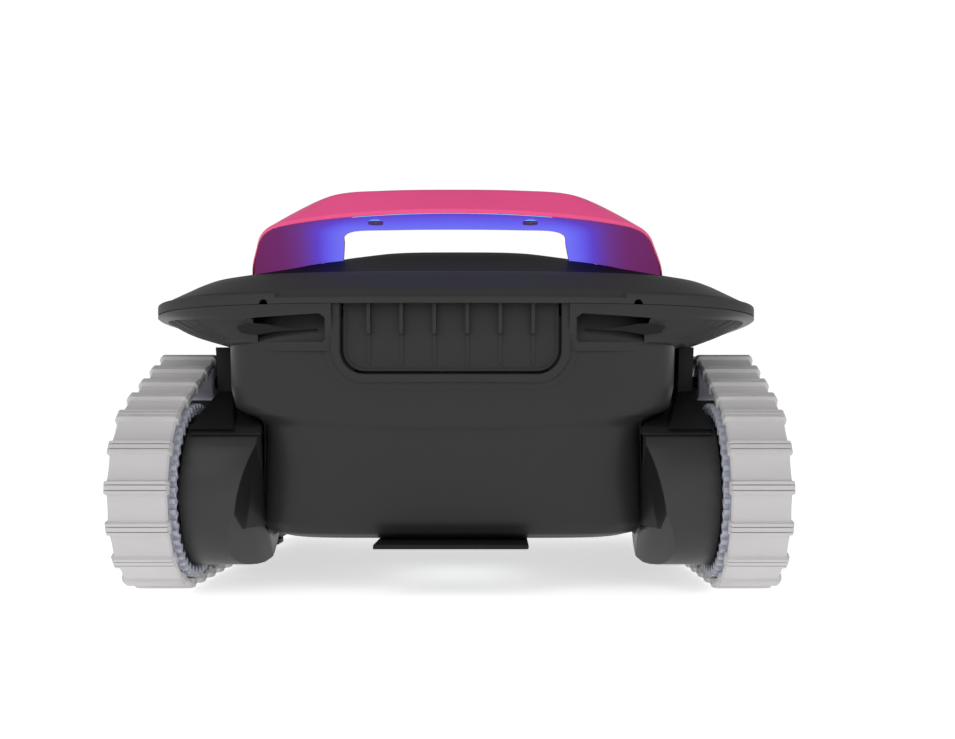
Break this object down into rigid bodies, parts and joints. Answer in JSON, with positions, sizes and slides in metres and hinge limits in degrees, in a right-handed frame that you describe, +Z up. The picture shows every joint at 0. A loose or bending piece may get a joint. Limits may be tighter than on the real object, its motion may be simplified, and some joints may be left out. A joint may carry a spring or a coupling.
{
  "type": "pool cleaning robot",
  "caption": "Tracked pool cleaning robot: dark hull on two rubber belts, hinged lid with a lit pink carrying handle, filter basket and pump inside.",
  "frame": {"origin": "centre of the whole machine's footprint, on the pool floor under the tracks", "axes": "+Z up, -Y towards the front with the ribbed basket face, +X to the machine's side that is on the right seen from the front"},
  "size_m": [0.415, 0.4009, 0.2494],
  "materials": {
    "black_case": "moulded ABS, satin",
    "dark_case": "moulded polypropylene, fine texture",
    "pink_case": "moulded ABS, satin pink",
    "light_panel": "diffusing panel lit from behind in blue",
    "track_rubber": "moulded light grey rubber",
    "wheel_plastic": "moulded acetal, blue-grey",
    "white_plastic": "moulded nylon",
    "filter_mesh": "woven filter mesh",
    "steel": "turned stainless steel",
    "float_foam": "closed-cell foam",
    "board_green": "printed circuit board"
  },
  "bodies": {
    "chassis": {"hull_tub": "black_case", "notch_frame": "black_case", "deck_frame": "black_case", "front_pod_right": "black_case", "front_pod_left": "black_case", "rear_pod_right": "black_case", "rear_pod_left": "black_case", "intake_lip": "dark_case", "side_frame_right": "dark_case", "side_frame_left": "dark_case", "skid_foot_right": "dark_case", "skid_foot_left": "dark_case", "filter_basket": "dark_case", "motor_box": "dark_case", "motor_box_cover": "dark_case", "pump_duct": "dark_case", "cable_gland": "dark_case", "track_belt_right": "track_rubber", "track_belt_left": "track_rubber", "belt_rail_right": "white_plastic", "belt_rail_left": "white_plastic", "side_screen_right": "filter_mesh", "side_screen_left": "filter_mesh", "rear_screen": "filter_mesh", "front_axle_right": "steel", "front_axle_left": "steel", "rear_axle_right": "steel", "rear_axle_left": "steel", "drive_motor_right": "steel", "drive_motor_left": "steel", "pump_motor": "steel", "hinge_pin_1": "steel", "hinge_pin_2": "steel", "float_block_right": "float_foam", "float_block_left": "float_foam", "control_board": "board_green"},
    "lid": {"lid_shell": "black_case", "outlet_grille": "dark_case", "handle_shell": "pink_case", "handle_underside": "light_panel", "light_board": "board_green", "handle_screw_1": "steel", "handle_screw_2": "steel"},
    "rear_wheel_right": {"rear_sprocket_right": "wheel_plastic"},
    "front_wheel_right": {"front_sprocket_right": "wheel_plastic"},
    "front_idler_right": {"front_idler_right": "wheel_plastic"},
    "rear_idler_right": {"rear_idler_right": "wheel_plastic"},
    "drive_pinion_right": {"drive_pinion_right": "white_plastic"},
    "rear_wheel_left": {"rear_sprocket_left": "wheel_plastic"},
    "front_wheel_left": {"front_sprocket_left": "wheel_plastic"},
    "front_idler_left": {"front_idler_left": "wheel_plastic"},
    "rear_idler_left": {"rear_idler_left": "wheel_plastic"},
    "drive_pinion_left": {"drive_pinion_left": "white_plastic"},
    "impeller": {"impeller": "white_plastic"},
    "basket_bail": {"basket_bail": "white_plastic"},
    "intake_flap_right": {"intake_flap_right": "white_plastic"},
    "intake_flap_left": {"intake_flap_left": "white_plastic"}
  },
  "joints": [
    {"name": "lid_hinge", "type": "hinge", "parent": "chassis", "child": "lid", "pos_m": [0, 0.194, 0.1705], "axis": [-1, 0, 0], "range_deg": [0, 75]},
    {"name": "rear_wheel_right", "type": "hinge", "parent": "chassis", "child": "rear_wheel_right", "pos_m": [0, 0.139, 0.0617], "axis": [1, 0, 0], "continuous": true},
    {"name": "front_wheel_right_spin", "type": "hinge", "parent": "chassis", "child": "front_wheel_right", "pos_m": [0, -0.139, 0.0617], "axis": [1, 0, 0], "continuous": true},
    {"name": "front_idler_right_spin", "type": "hinge", "parent": "chassis", "child": "front_idler_right", "pos_m": [0, -0.085, 0.131], "axis": [1, 0, 0], "continuous": true},
    {"name": "rear_idler_right_spin", "type": "hinge", "parent": "chassis", "child": "rear_idler_right", "pos_m": [0, 0.085, 0.131], "axis": [1, 0, 0], "continuous": true},
    {"name": "drive_pinion_right_spin", "type": "hinge", "parent": "chassis", "child": "drive_pinion_right", "pos_m": [0, 0.1017, 0.0617], "axis": [1, 0, 0], "continuous": true},
    {"name": "rear_wheel_left", "type": "hinge", "parent": "chassis", "child": "rear_wheel_left", "pos_m": [0, 0.139, 0.0617], "axis": [1, 0, 0], "continuous": true},
    {"name": "front_wheel_left_spin", "type": "hinge", "parent": "chassis", "child": "front_wheel_left", "pos_m": [0, -0.139, 0.0617], "axis": [1, 0, 0], "continuous": true},
    {"name": "front_idler_left_spin", "type": "hinge", "parent": "chassis", "child": "front_idler_left", "pos_m": [0, -0.085, 0.131], "axis": [1, 0, 0], "continuous": true},
    {"name": "rear_idler_left_spin", "type": "hinge", "parent": "chassis", "child": "rear_idler_left", "pos_m": [0, 0.085, 0.131], "axis": [1, 0, 0], "continuous": true},
    {"name": "drive_pinion_left_spin", "type": "hinge", "parent": "chassis", "child": "drive_pinion_left", "pos_m": [0, 0.1017, 0.0617], "axis": [1, 0, 0], "continuous": true},
    {"name": "impeller_spin", "type": "hinge", "parent": "chassis", "child": "impeller", "pos_m": [0, 0.096, 0.15], "axis": [0, 0, 1], "continuous": true},
    {"name": "bail_swing", "type": "hinge", "parent": "chassis", "child": "basket_bail", "pos_m": [0, -0.072, 0.1615], "axis": [1, 0, 0], "range_deg": [0, 90]},
    {"name": "intake_flap_right_swing", "type": "hinge", "parent": "chassis", "child": "intake_flap_right", "pos_m": [0.041, -0.072, 0.041], "axis": [0, 1, 0], "range_deg": [0, 75]},
    {"name": "intake_flap_left_swing", "type": "hinge", "parent": "chassis", "child": "intake_flap_left", "pos_m": [-0.041, -0.072, 0.041], "axis": [0, -1, 0], "range_deg": [0, 75]}
  ],
  "couplings": [
    {"joint": "front_wheel_right_spin", "follows": "rear_wheel_right", "ratio": 1},
    {"joint": "front_idler_right_spin", "follows": "rear_wheel_right", "ratio": 4.47},
    {"joint": "rear_idler_right_spin", "follows": "rear_wheel_right", "ratio": 4.47},
    {"joint": "drive_pinion_right_spin", "follows": "rear_wheel_right", "ratio": 4.667},
    {"joint": "front_wheel_left_spin", "follows": "rear_wheel_left", "ratio": 1},
    {"joint": "front_idler_left_spin", "follows": "rear_wheel_left", "ratio": 4.47},
    {"joint": "rear_idler_left_spin", "follows": "rear_wheel_left", "ratio": 4.47},
    {"joint": "drive_pinion_left_spin", "follows": "rear_wheel_left", "ratio": 4.667}
  ]
}
